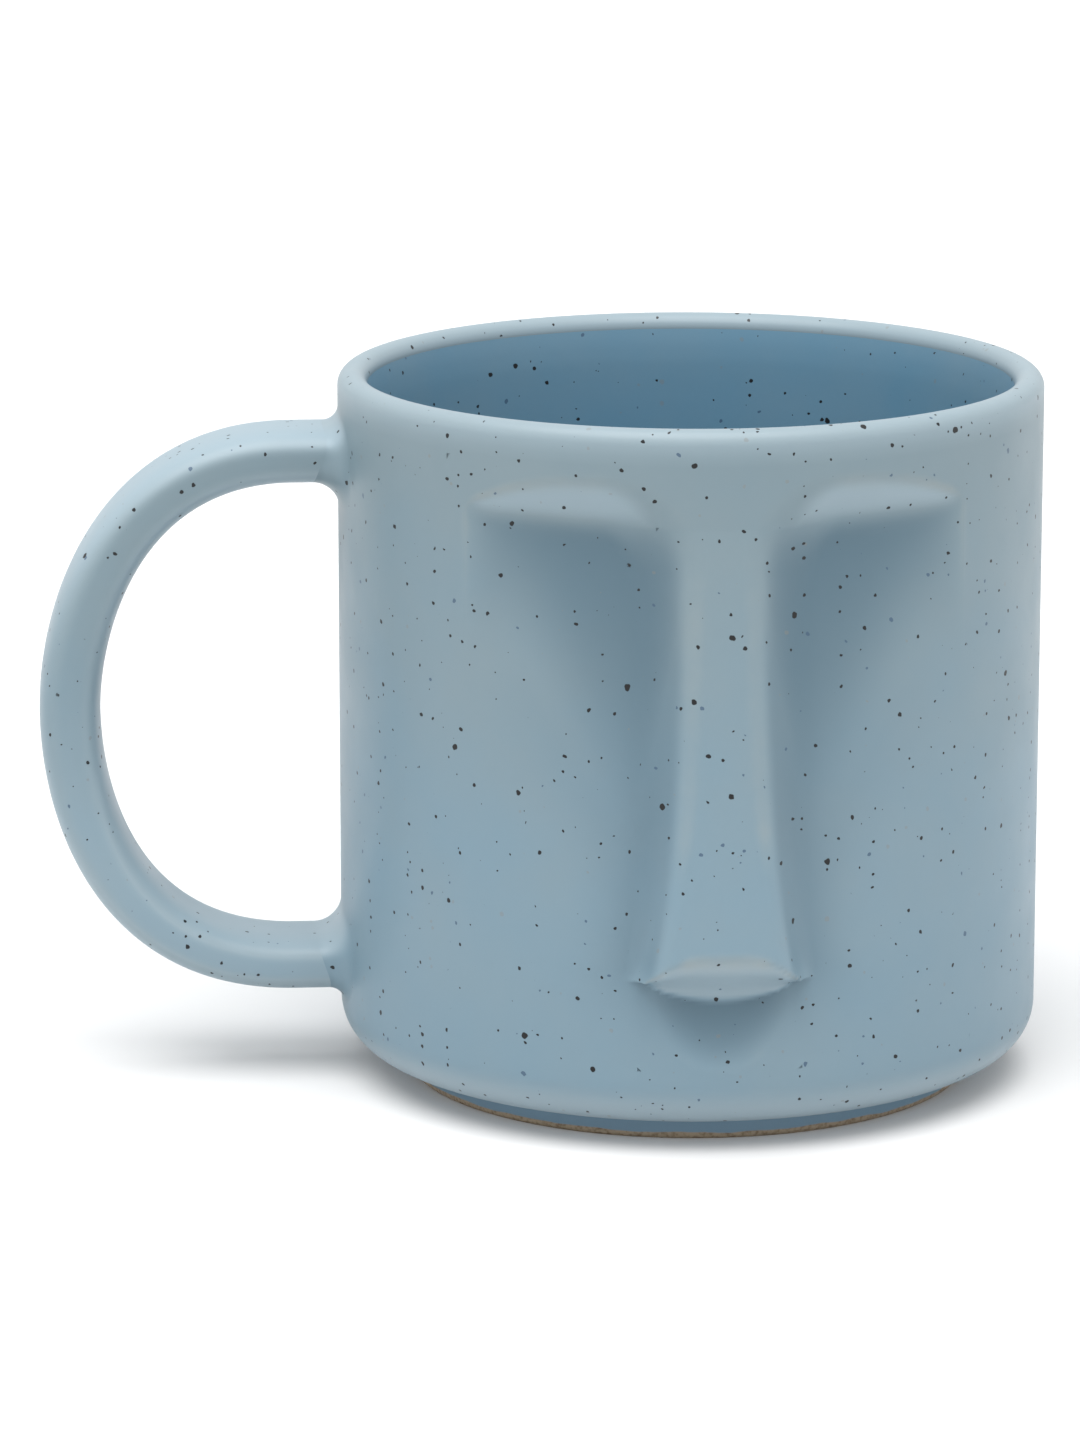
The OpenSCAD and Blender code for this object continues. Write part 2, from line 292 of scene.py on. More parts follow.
@dataclass(frozen=True)
class SpeckledSatinGlaze:
    """Reduction-fired satin glaze over speckled stoneware.

    It is poured and dipped, so it is a little thin and warm on edges, and dotted where iron grains in the
    clay melt into it.
    Painted shade darkens it in hollows and creases, and painted light pales it on undersides. The gloss is
    soft, with a faint orange peel.
    """

    glaze: str = "#7691a0"
    upper: str = "#768a93"
    thin: str = "#8a979b"
    relief_edge: str = "#a6a69e"
    # Painted light: paler colour for faces that point down, standing in for light bounced up from the floor.
    underlight_colour: str = "#94a7b1"
    # Painted shade: darker blue for hollows and creases, standing in for shadow and occlusion.
    shade_colour: str = "#4d6877"
    liner: str = "#608aa2"
    roughness: float = 0.425
    roughness_drift: float = 0.045
    gloss_mm: float = 9.0
    ior: float = 1.5
    thin_from: float = 0.12
    thin_to: float = 0.55
    thin_most: float = 0.9
    relief_from: float = 0.06
    relief_to: float = 0.45
    breakup: float = 0.06
    breakup_mm: float = 2.5
    # Painted shade: how much concave creases darken, and the value at which the painted shade is full.
    crease_shade: float = 0.5
    shade_full_at: float = 2.3
    cloud_mm: float = 16.0
    cloud_most: float = 0.22
    wash_waver_mm: float = 30.0
    wash_from_mm: float = 45.0
    wash_to_mm: float = 95.0
    ragged_mm: float = 0.9
    ragged_by_mm: float = 0.55
    grain_core: float = 0.85
    pit: float = 0.35
    peel_mm: float = 2.4
    peel_height_mm: float = 0.012
    speckles: tuple[Speckle, ...] = (
        Speckle("brown_haze", "#7f7a70", 2.6, 0.34, 2.2, 0.35),
        Speckle("blue_grain", "#38526c", 2.6, 0.34, 2.4, 0.8),
        Speckle("fine_iron", "#090c11", 1.5, 0.31, 2.0, 1.0),
        Speckle("large_iron", "#06080b", 4.0, 0.5, 1.6, 1.0),
    )

    def material(self, coat: Coat) -> bpy.types.Material:
        """Builds the glaze for one coat.

        Args:
            coat: The coat that the piece shows.

        Returns:
            The material.
        """
        material = bpy.data.materials.new(coat.value)
        material.use_nodes = True
        tree = material.node_tree
        tree.nodes.clear()
        place = add_node(tree, "ShaderNodeTexCoord").outputs["Object"]
        colour = self._body_colour(tree, place, coat)
        colour, grain = self._speckled(tree, place, colour)
        normal = self._peel(tree, place, grain)
        gloss = {"Vector": place, "Scale": 1 / (self.gloss_mm * MM), "Detail": 3.0}
        drift = add_node(tree, "ShaderNodeTexNoise", inputs=gloss).outputs["Fac"]
        span = {"Value": drift, "From Min": NOISE_LOW, "From Max": NOISE_HIGH}
        span["To Min"] = self.roughness - self.roughness_drift
        span["To Max"] = self.roughness + self.roughness_drift
        rough = add_node(tree, "ShaderNodeMapRange", inputs=span).outputs["Result"]
        coating = {"Base Color": colour, "Roughness": rough, "IOR": self.ior, "Normal": normal}
        shader = add_node(tree, "ShaderNodeBsdfPrincipled", inputs=coating).outputs["BSDF"]
        add_node(tree, "ShaderNodeOutputMaterial", inputs={"Surface": shader})
        return material

    def _body_colour(
        self, tree: bpy.types.NodeTree, place: bpy.types.NodeSocket, coat: Coat
    ) -> bpy.types.NodeSocket:
        """Cloudy glaze that is pale on edges, with painted shade in hollows and creases and painted light on
        undersides.

        Args:
            tree: The material's node tree.
            place: Where the surface point is.
            coat: The coat that the piece shows.

        Returns:
            The colour without its grains.
        """
        glaze, upper = (self.liner, self.liner) if coat is Coat.LINER else (self.glaze, self.upper)
        edge, thin_from, thin_to = self.thin, self.thin_from, self.thin_to
        if coat is Coat.RELIEF:
            edge, thin_from, thin_to = self.relief_edge, self.relief_from, self.relief_to
        bulge = add_node(tree, "ShaderNodeAttribute", {"attribute_name": "bulge"}).outputs["Fac"]
        pool = add_node(tree, "ShaderNodeAttribute", {"attribute_name": "pool"}).outputs["Fac"]

        fine = {"Vector": place, "Scale": 1 / (self.breakup_mm * MM), "Detail": 4.0}
        breakup = add_node(tree, "ShaderNodeTexNoise", inputs=fine).outputs["Fac"]
        rough_edge = {0: breakup, 1: self.breakup, 2: bulge}
        uneven = add_node(tree, "ShaderNodeMath", MULTIPLY_ADD, rough_edge).outputs[0]
        edges = {"Value": uneven, "From Min": thin_from, "From Max": thin_to, "To Max": self.thin_most}
        thin = add_node(tree, "ShaderNodeMapRange", SMOOTH, edges).outputs["Result"]

        # Painted light: share of the paler underside colour, where the painted-shading value is below 0.
        steep = {"Value": pool, "From Min": 0.0, "From Max": -UNDERSIDE_LIGHT}
        underside = add_node(tree, "ShaderNodeMapRange", inputs=steep).outputs["Result"]
        # Painted shade: darker in hollows and concave creases, where shadow and occlusion fall.
        sharp = {0: bulge, 1: -self.crease_shade, 2: pool}
        crease = add_node(tree, "ShaderNodeMath", MULTIPLY_ADD, sharp).outputs[0]
        hollows = {"Value": crease, "From Min": 0.0, "From Max": self.shade_full_at}
        deep = add_node(tree, "ShaderNodeMapRange", inputs=hollows).outputs["Result"]

        broad = {"Vector": place, "Scale": 1 / (self.cloud_mm * MM), "Detail": 5.0}
        clouds = add_node(tree, "ShaderNodeTexNoise", inputs=broad).outputs["Fac"]
        veil = {"Value": clouds, "From Min": NOISE_LOW, "From Max": NOISE_HIGH, "To Max": self.cloud_most}
        cloudy = add_node(tree, "ShaderNodeMapRange", inputs=veil).outputs["Result"]
        above = add_node(tree, "ShaderNodeSeparateXYZ", inputs={"Vector": place}).outputs["Z"]
        drift = {0: clouds, 1: self.wash_waver_mm * MM, 2: above}
        patchy = add_node(tree, "ShaderNodeMath", MULTIPLY_ADD, drift).outputs[0]
        fade = {"Value": patchy, "From Min": self.wash_from_mm * MM, "From Max": self.wash_to_mm * MM}
        colour: object = srgb(glaze)
        for share, over in (
            (add_node(tree, "ShaderNodeMapRange", inputs=fade).outputs["Result"], upper),
            (cloudy, self.thin),
            (deep, self.shade_colour),
            (underside, self.underlight_colour),
            (thin, edge),
        ):
            blend = {0: share, 6: colour, 7: srgb(over)}
            colour = add_node(tree, "ShaderNodeMix", COLOUR_MIX, blend).outputs[2]
        return colour

    def _speckled(
        self, tree: bpy.types.NodeTree, place: bpy.types.NodeSocket, colour: bpy.types.NodeSocket
    ) -> tuple[bpy.types.NodeSocket, bpy.types.NodeSocket]:
        """Lays the grains over a colour.

        Args:
            tree: The material's node tree.
            place: Where the surface point is.
            colour: The glaze's own colour.

        Returns:
            The colour with grains, and how much grain there is at each point.
        """
        ripple = {"Vector": place, "Scale": 1 / (self.ragged_mm * MM), "Detail": 2.0}
        wobble = add_node(tree, "ShaderNodeTexNoise", inputs=ripple).outputs["Color"]
        halves = {0: wobble, 1: (0.5, 0.5, 0.5)}
        centred = add_node(tree, "ShaderNodeVectorMath", {"operation": "SUBTRACT"}, halves).outputs[0]
        shake = {0: centred, 1: (self.ragged_by_mm * MM,) * 3, 2: place}
        ragged = add_node(tree, "ShaderNodeVectorMath", MULTIPLY_ADD, shake).outputs[0]
        grain: bpy.types.NodeSocket | None = None
        for number, speckle in enumerate(self.speckles):
            moved = {0: ragged, 1: (13 * MM * number, 7 * MM * number, 0.0)}
            shifted = add_node(tree, "ShaderNodeVectorMath", {"operation": "ADD"}, moved).outputs[0]
            spread = {"Vector": shifted, "Scale": 1 / (speckle.spacing_mm * MM)}
            cells = add_node(tree, "ShaderNodeTexVoronoi", {"label": speckle.name}, spread)
            lot = add_node(tree, "ShaderNodeSeparateColor", inputs={0: cells.outputs["Color"]}).outputs[0]
            rare = {0: lot, 1: speckle.rarity}
            size = add_node(tree, "ShaderNodeMath", {"operation": "POWER"}, rare).outputs[0]
            largest = {0: size, 1: speckle.largest_mm / speckle.spacing_mm}
            radius = add_node(tree, "ShaderNodeMath", {"operation": "MULTIPLY"}, largest).outputs[0]
            middle = {0: radius, 1: self.grain_core}
            core = add_node(tree, "ShaderNodeMath", {"operation": "MULTIPLY"}, middle).outputs[0]
            rim = {"Value": cells.outputs["Distance"], "From Min": radius, "From Max": core}
            rim["To Max"] = speckle.strength
            dot = add_node(tree, "ShaderNodeMapRange", SMOOTH, rim).outputs["Result"]
            blend = {0: dot, 6: colour, 7: srgb(speckle.colour)}
            colour = add_node(tree, "ShaderNodeMix", COLOUR_MIX, blend).outputs[2]
            if grain is not None:
                either = {0: grain, 1: dot}
                dot = add_node(tree, "ShaderNodeMath", {"operation": "MAXIMUM"}, either).outputs[0]
            grain = dot
        return colour, grain

    def _peel(
        self, tree: bpy.types.NodeTree, place: bpy.types.NodeSocket, grain: bpy.types.NodeSocket
    ) -> bpy.types.NodeSocket:
        """Orange peel and slight pits at the grains.

        Args:
            tree: The material's node tree.
            place: Where the surface point is.
            grain: How much grain there is.

        Returns:
            The shading normal.
        """
        soft = {"Vector": place, "Scale": 1 / (self.peel_mm * MM), "Detail": 2.0, "Roughness": 0.4}
        waves = add_node(tree, "ShaderNodeTexNoise", inputs=soft).outputs["Fac"]
        pits = {0: grain, 1: -self.pit, 2: waves}
        height = add_node(tree, "ShaderNodeMath", MULTIPLY_ADD, pits).outputs[0]
        peel = {"Strength": 1.0, "Distance": self.peel_height_mm * MM, "Height": height}
        return add_node(tree, "ShaderNodeBump", inputs=peel).outputs["Normal"]


@dataclass(frozen=True)
class SpongedStoneware:
    """Bare fired stoneware on the foot, sponged smooth, with glaze above a wavering line.

    The clay is buff, dull and finely gritty. The glaze above it is painted paler than the wall's, standing in
    for light bounced into the foot's shade.
    """

    clay: str = "#b3a189"
    grit: str = "#7d6a54"
    # Painted light: paler than the wall's glaze, standing in for bounce light in the foot's shade.
    glaze: str = "#809fb4"
    line_mm: float = 0.9
    line_soft_mm: float = 0.08
    waver_mm: float = 0.35
    waver_every_mm: float = 6.0
    grit_mm: float = 0.5
    grit_from: float = 0.45
    grit_to: float = 0.75
    grit_height_mm: float = 0.05
    grit_strength: float = 0.6
    clay_roughness: float = 0.85
    glaze_roughness: float = 0.45
    ior: float = 1.5

    def material(self) -> bpy.types.Material:
        """Builds the clay with its glaze line.

        Returns:
            The material.
        """
        material = bpy.data.materials.new(Coat.FOOT.value)
        material.use_nodes = True
        tree = material.node_tree
        tree.nodes.clear()
        place = add_node(tree, "ShaderNodeTexCoord").outputs["Object"]
        height = add_node(tree, "ShaderNodeSeparateXYZ", inputs={0: place}).outputs["Z"]
        hand = {"Vector": place, "Scale": 1 / (self.waver_every_mm * MM), "Detail": 3.0}
        waver = add_node(tree, "ShaderNodeTexNoise", inputs=hand).outputs["Fac"]
        wavy = {0: waver, 1: -2 * self.waver_mm * MM, 2: height}
        line = add_node(tree, "ShaderNodeMath", MULTIPLY_ADD, wavy).outputs[0]
        middle = self.line_mm - self.waver_mm
        dipped = {"Value": line, "From Min": (middle - self.line_soft_mm) * MM}
        dipped["From Max"] = (middle + self.line_soft_mm) * MM
        glazed = add_node(tree, "ShaderNodeMapRange", SMOOTH, dipped).outputs["Result"]
        sand = {"Vector": place, "Scale": 1 / (self.grit_mm * MM), "Detail": 5.0}
        grit = add_node(tree, "ShaderNodeTexNoise", inputs=sand).outputs["Fac"]
        coarse = {"Value": grit, "From Min": self.grit_from, "From Max": self.grit_to}
        gritty = add_node(tree, "ShaderNodeMapRange", inputs=coarse).outputs["Result"]
        bare = {0: gritty, 6: srgb(self.clay), 7: srgb(self.grit)}
        clay = add_node(tree, "ShaderNodeMix", COLOUR_MIX, bare).outputs[2]
        both = {0: glazed, 6: clay, 7: srgb(self.glaze)}
        colour = add_node(tree, "ShaderNodeMix", COLOUR_MIX, both).outputs[2]
        dull = {"Value": glazed, "To Min": self.clay_roughness, "To Max": self.glaze_roughness}
        rough = add_node(tree, "ShaderNodeMapRange", inputs=dull).outputs["Result"]
        grain = {"Strength": self.grit_strength, "Distance": self.grit_height_mm * MM, "Height": grit}
        bump = add_node(tree, "ShaderNodeBump", inputs=grain).outputs["Normal"]
        finish = {"Base Color": colour, "Roughness": rough, "IOR": self.ior, "Normal": bump}
        shader = add_node(tree, "ShaderNodeBsdfPrincipled", inputs=finish).outputs["BSDF"]
        add_node(tree, "ShaderNodeOutputMaterial", inputs={"Surface": shader})
        return material


# --- The cup ---


@dataclass
class Outline:
    """A profile in the radius and height plane, walked by its length in millimetres."""

    radii: list[float] = field(default_factory=list)
    heights: list[float] = field(default_factory=list)

    def line(self, r: float, z: float) -> "Outline":
        """Goes straight to a point.

        Args:
            r: The point's distance from the axis.
            z: The point's height.

        Returns:
            The outline itself.
        """
        self.radii.append(r)
        self.heights.append(z)
        return self

    def arc(self, r: float, z: float, radius: float, start: float, end: float) -> "Outline":
        """Follows an arc.

        Args:
            r: Centre's distance from the axis.
            z: Centre's height.
            radius: Radius of the arc.
            start: First angle in degrees.
            end: Last angle in degrees.

        Returns:
            The outline itself.
        """
        for angle in np.radians(np.linspace(start, end, ARC_POINTS)):
            self.line(r + radius * math.cos(angle), z + radius * math.sin(angle))
        return self

    def lengths(self) -> Array:
        """Distance walked at each point."""
        steps = np.hypot(np.diff(self.radii), np.diff(self.heights))
        return np.concatenate([[0], np.cumsum(steps)])

    def at(self, walked: Array) -> tuple[Array, Array]:
        """Radius and height after walking this far."""
        lengths = self.lengths()
        return np.interp(walked, lengths, self.radii), np.interp(walked, lengths, self.heights)

    def stations(self, longest: float, turn: float = 6.0) -> Array:
        """Row positions: every longest millimetres, closer where the outline turns.

        Args:
            longest: Longest step in millimetres.
            turn: Largest change of direction in one step, in degrees.

        Returns:
            Distances walked, from start to end.
        """
        lengths = self.lengths()
        way = np.unwrap(np.arctan2(np.diff(self.heights), np.diff(self.radii)))
        turned = np.concatenate([[0], np.cumsum(np.abs(np.diff(way, prepend=way[0])))])
        effort = lengths / longest + turned / math.radians(turn)
        corners = np.flatnonzero(np.abs(np.diff(way)) > math.radians(20)) + 1
        stops = np.linspace(0, effort[-1], int(math.ceil(effort[-1])) + 1)
        return np.unique(np.concatenate([np.interp(stops, effort, lengths), lengths[corners]]).round(6))


@dataclass(frozen=True)
class ReliefShading:
    """Painted shade in the relief's hollows, standing in for shadow and occlusion. Lengths and heights are in
    millimetres.

    Attributes:
        reach: Distance over which a point's surroundings are averaged.
        step: Grid on which they are averaged.
        most: Strongest painted shade.
        under_tip: Share of the sinking below the surroundings, and below the wall, that is painted as shade
            under the tip.
        on_face: The same two shares on the face.
        tip_drop: Where the first shares give way to the second, below the tip line.
        tip_blend: Height over which they do.
        flank: Painted shade on the nose's flanks.
        low_run: How far that shade reaches out over the cheek low down.
        high_run: How far it reaches out up in the socket.
        high_z: Where the run starts to widen, and the crease beside the nose starts to darken.
        widen_h: Height over which the run widens.
        crease: How much darker the crease beside the nose is painted.
        crease_run: How far that reaches from the nose.
        crease_h: Height over which the crease starts to darken.
        crease_top_z: Where the crease is clear again, under the brow.
        crease_fade_h: Height over which it clears.
        brow_clear: Part of the facet under the brow that stays clear, in facets.
        brow_delay: How far below that the painted shade reaches full strength, in facets.
        brow_s: Distance from the middle where the brows' delay begins.
        brow_blend_s: Distance over which it does.
        brow_low_z: Height at which the brows' delay begins.
        brow_blend_z: Height over which it does.
    """

    reach: float = 6.0
    step: float = 1.0
    most: float = 2.2
    under_tip: tuple[float, float] = (1.4, 0.6)
    on_face: tuple[float, float] = (0.3, 1.0)
    tip_drop: float = 1.0
    tip_blend: float = 5.0
    flank: float = 0.75
    low_run: float = 5.0
    high_run: float = 14.0
    high_z: float = 30.0
    widen_h: float = 25.0
    crease: float = 0.8
    crease_run: float = 2.5
    crease_h: float = 15.0
    crease_top_z: float = 72.0
    crease_fade_h: float = 12.0
    brow_clear: float = 0.5
    brow_delay: float = 1.6
    brow_s: float = 9.0
    brow_blend_s: float = 6.0
    brow_low_z: float = 64.0
    brow_blend_z: float = 8.0


@dataclass
class FaceRelief:
    """Brows, hollow sockets and a long nose, moulded on the front of the wall.

    Places are given as s, the distance from the middle of the face along the wall, and z, the height.
    """

    wall_r: float
    height: float
    bottom_z: float = 10.5
    panel_side: float = 3.0
    panel_above: float = 2.5
    socket_depth: float = 3.0
    socket_run: float = 44.0
    socket_end_run: float = 22.0
    socket_end_w: float = 16.0
    panel_min_t: float = 0.4
    brow_reach: float = 33.0
    brow_drop: float = 7.2
    brow_fall: float = 3.2
    brow_bend_r: float = 11.0
    brow_min_facet: float = 0.9
    brow_inner_facet: float = 1.8
    bridge_drop: float = 5.0
    bridge_half_w: float = 4.0
    nose_flare: float = 3.2
    tip_half_w: float = 7.6
    tip_z: float = 22.0
    tip_proud: float = 5.0
    tip_fold_h: float = 3.2
    under_depth: float = 1.0
    under_side: float = 1.2
    tip_corner_side: float = 1.5
    tip_corner_drop: float = 3.0
    tip_under_drop: float = 1.2
    tip_under_rise: float = 1.4
    crease_drop: float = 4.0
    flank_bridge_w: float = 4.2
    flank_tip_w: float = 2.5
    flank_from: float = 0.375
    edge_round: float = 0.4
    crease_round: float = 0.8
    tip_crease_round: float = 0.4
    grid: float = 0.5
    nose_seat: float = 0.2
    # Painted shade in the relief's hollows.
    painted_shade: ReliefShading = ReliefShading()

    @property
    def brow_z(self) -> float:
        """Highest line of the brows."""
        return self.height - self.brow_drop

    @property
    def half_s(self) -> float:
        """Half width of the panel along the wall."""
        return self.brow_reach + self.panel_side

    @property
    def top_z(self) -> float:
        """Top of the panel."""
        return self.brow_z + self.panel_above

    @property
    def bridge_z(self) -> float:
        """Top of the nose."""
        return self.brow_z - self.bridge_drop

    def fold(self, t: Array, crease_round: float) -> Array:
        """A facet between two levels, rounded at its first edge and creased at its second.

        Args:
            t: Place across the facet, 0 at its first edge and 1 at its second.
            crease_round: How far the crease is rounded to each side, as a share of the facet.

        Returns:
            0 at the first level and 1 at the second.
        """
        near = np.maximum(self.edge_round - np.abs(t), 0) / self.edge_round
        leaving = np.maximum(t, 0) + near**2 * self.edge_round / 4
        near = np.maximum(crease_round - np.abs(1 - leaving), 0) / crease_round
        return np.minimum(leaving, 1) - near**2 * crease_round / 4

    def brow_line(self, s: Array) -> Array:
        """Height of the brows' upper edge."""
        return self.brow_z - self.brow_fall * np.clip(np.abs(s) * 2 / self.brow_reach - 1, 0, 1) ** 2

    def along_nose(self, z: Array) -> Array:
        """0 at the bridge of the nose and 1 at its tip."""
        return np.clip((self.bridge_z - z) / (self.bridge_z - self.tip_z), 0, 1)

    def front_w(self, z: Array) -> Array:
        """Half width of the nose's flat front."""
        return mix(self.bridge_half_w, self.tip_half_w, self.along_nose(z) ** self.nose_flare)

    def flank_w(self, z: Array) -> Array:
        """Width of the flank beside the nose's front."""
        narrowing = ramp((self.along_nose(z) - self.flank_from) / (1 - self.flank_from))
        return mix(self.flank_bridge_w, self.flank_tip_w, narrowing)

    def nose_edge(self, z: Array) -> Array:
        """Where the flank of the nose meets the cheek."""
        return self.front_w(z) + self.flank_w(z)

    def socket_in(self, s: Array, z: Array) -> Array:
        """Distance into a socket from the edge of brow and nose, with a round bend between the two.

        Args:
            s: Distances from the middle of the face.
            z: Heights.

        Returns:
            Distances, less than 0 outside the socket.
        """
        bend = self.brow_bend_r
        below = bend - self.brow_line(s) + z
        beside = bend - np.abs(s) + self.front_w(z)
        inside = (below > 0) & (beside > 0)
        return bend - np.where(inside, np.hypot(below, beside), np.maximum(below, beside))

    def roll_w(self, s: Array, z: Array) -> Array:
        """Width of the facet under the brow, down to a level crease, and beside the nose.

        Args:
            s: Distances from the middle of the face.
            z: Heights.

        Returns:
            Widths. The brow's facet is wider near the nose, and gives way to the flank below it.
        """
        below_brow, inner_from, inner_w, blend_h = 16, 16, 8, 9
        brow = np.maximum(self.brow_line(s) - self.brow_z + self.crease_drop, self.brow_min_facet)
        brow = brow + self.brow_inner_facet * ramp((inner_from - np.abs(s)) / inner_w)
        return mix(self.flank_w(z), brow, ramp((z - self.brow_z + below_brow) / blend_h))

    def facets_in(self, s: Array, z: Array) -> Array:
        """Distance into a socket, counted in facets."""
        return self.socket_in(s, z) / self.roll_w(s, z)

    def socket_floor(self, s: Array, z: Array) -> Array:
        """Socket floor: deep under the whole brow, rising to the cheek below it, later beside the nose.

        Args:
            s: Distances from the middle of the face.
            z: Heights.

        Returns:
            Heights over the wall.
        """
        near_nose, blend_w = 8, 20
        end = np.clip((np.abs(s) - self.brow_reach + self.socket_end_w) / self.socket_end_w, 0, 1) ** 2
        run = mix(self.socket_run, self.socket_end_run, ramp((np.abs(s) - near_nose) / blend_w))
        return -self.socket_depth * (1 - end) * ramp(1 - (self.brow_line(s) - z) / run)

    def under_dip(self, s: Array, z: Array) -> Array:
        """Shallow bowl in the wall under the nose."""
        off = (s / (self.tip_half_w + self.under_side)) ** 2
        return -self.under_depth * ramp(1 - off - ((self.tip_z - z) / (self.tip_z - self.bottom_z)) ** 2)

    def nose_front(self, s: Array, z: Array) -> Array:
        """Front of the nose, which folds back to the wall under the tip.

        Args:
            s: Distances from the middle of the face.
            z: Heights.

        Returns:
            Heights over the wall.
        """
        side = np.clip(np.abs(s) / (self.tip_half_w + self.tip_corner_side), 0, 1) ** 2
        edge = self.tip_z + self.tip_fold_h - self.tip_corner_drop * side**1.5
        under = self.tip_z - self.tip_under_drop + self.tip_under_rise * side
        folded = self.fold((edge - z) / (edge - under), self.tip_crease_round)
        return mix(self.tip_proud * self.along_nose(z), self.under_dip(s, z), folded)

    def relief(self, s: Array, z: Array) -> Array:
        """Height over the wall."""
        sunk = self.fold(self.facets_in(s, z), self.crease_round)
        return mix(self.nose_front(s, z), self.socket_floor(s, z), sunk)

    def surroundings(self, s: Array, z: Array) -> Array:
        """Mean height of the wall and its relief around each point.

        Args:
            s: Distances from the middle of the face.
            z: Heights.

        Returns:
            Heights over the wall, averaged over the painted shade's reach.
        """
        step = self.painted_shade.step
        span = 3 * self.painted_shade.reach
        grid_s = np.arange(-self.half_s - 2 * span, self.half_s + 2 * span + step, step)
        grid_z = np.arange(self.bottom_z - 2 * span, self.top_z + 2 * span + step, step)
        heights = self.relief(*np.meshgrid(grid_s, grid_z))
        heights[:, np.abs(grid_s) > self.half_s] = 0
        heights[(grid_z > self.top_z) | (grid_z < self.bottom_z)] = 0
        weights = np.exp(-0.5 * (np.arange(-span, span + step, step) / self.painted_shade.reach) ** 2)
        weights /= weights.sum()
        around = np.apply_along_axis(np.convolve, 0, heights, weights, "same")
        around = np.apply_along_axis(np.convolve, 1, around, weights, "same")
        col = np.clip((s - grid_s[0]) / step, 0, len(grid_s) - 1.001)
        row = np.clip((z - grid_z[0]) / step, 0, len(grid_z) - 1.001)
        i, j = row.astype(int), col.astype(int)
        low = mix(around[i, j], around[i, j + 1], col - j)
        high = mix(around[i + 1, j], around[i + 1, j + 1], col - j)
        return mix(low, high, row - i)

    def flank_shade(self, s: Array, z: Array) -> Array:
        """Painted shade down the nose's flanks and out over the cheek, darker in the crease.

        Args:
            s: Distances from the middle of the face.
            z: Heights.

        Returns:
            Shares of the flank's painted shade.
        """
        painted_shade = self.painted_shade
        beyond = np.maximum(np.abs(s) - self.nose_edge(z), 0)
        run = mix(painted_shade.low_run, painted_shade.high_run, ramp((z - painted_shade.high_z) / painted_shade.widen_h))
        flank = ramp(2 * self.facets_in(s, z)) * np.exp(-((beyond / run) ** 2))
        filled = ramp((z - painted_shade.high_z) / painted_shade.crease_h) * ramp((painted_shade.crease_top_z - z) / painted_shade.crease_fade_h)
        return flank + painted_shade.crease * flank * np.exp(-((beyond / painted_shade.crease_run) ** 2)) * filled

    def hollow(self, s: Array, z: Array) -> Array:
        """How much painted shade the relief gets, standing in for shadow and occlusion in its hollows.

        Args:
            s: Distances from the middle of the face.
            z: Heights.

        Returns:
            Painted shade values in millimetres, 0 where there is none.
        """
        painted_shade = self.painted_shade
        here = (np.abs(s) <= self.half_s) & (z <= self.top_z) & (z >= self.bottom_z)
        height = np.where(here, self.relief(s, z), 0)
        above_tip = ramp((z - self.tip_z + painted_shade.tip_drop) / painted_shade.tip_blend)
        sunk = np.maximum(self.surroundings(s, z) - height, 0)
        of_sunk, of_depth = (mix(a, b, above_tip) for a, b in zip(painted_shade.under_tip, painted_shade.on_face))
        late = ramp((self.facets_in(s, z) - painted_shade.brow_clear) / painted_shade.brow_delay)
        beside = ramp((np.abs(s) - painted_shade.brow_s) / painted_shade.brow_blend_s)
        under_brow = beside * ramp((z - painted_shade.brow_low_z) / painted_shade.brow_blend_z) * here
        # Painted shade: deeper than the surroundings or below the wall means darker.
        shade_amount = (of_sunk * sunk - of_depth * np.minimum(height, 0)) * mix(1, late, under_brow)
        shade_amount = shade_amount + painted_shade.flank * self.flank_shade(s, z) * above_tip * here
        return painted_shade.most * np.tanh(shade_amount / painted_shade.most)

    def paint_shading(self, front: Patch, s: Array, zs: Array) -> None:
        """Sets the painted shade in the relief's hollows, and the painted light on the facets that face down.

        Args:
            front: The relief's patch, which gets the values.
            s: Distances from the middle of the face, one row for each height.
            zs: Heights of the rows.
        """
        facet_h, facet_edge, facet_w, tilt = 12, 0.5, 2, 0.45
        tip_h, tip_blend, tip_in, tip_w, softened = 20, 8, 3, 2, 0.8
        z = np.broadcast_to(zs[:, None], s.shape)
        across = np.abs(s) - self.front_w(z)
        facet = np.where(z < self.tip_z + facet_h, 1 - ramp((across + facet_edge) / facet_w), 1)
        # Painted shade in the hollows, giving way to painted light on down-facing facets.
        front.pool = mix(self.hollow(s, z), front.pool, facet * ramp(-front.normals[..., 2] / tilt))
        beside_tip = ramp((self.tip_z + tip_h - z) / tip_blend) * ramp((across + tip_in) / tip_w)
        front.bulge *= 1 - softened * beside_tip

    def placed(self, s: Array, z: Array, lift: Array | float) -> Array:
        """Points at a distance over the wall.

        Args:
            s: Distances from the middle of the face.
            z: Heights.
            lift: Distances over the wall, less than 0 inside it.

        Returns:
            The points.
        """
        angle = s / self.wall_r
        r = self.wall_r + lift
        return np.stack([r * np.sin(angle), -r * np.cos(angle), z + 0 * s], -1)

    def surface(self, s: Array, z: Array) -> Array:
        """Points of the relief."""
        return self.placed(s, z, self.relief(s, z))

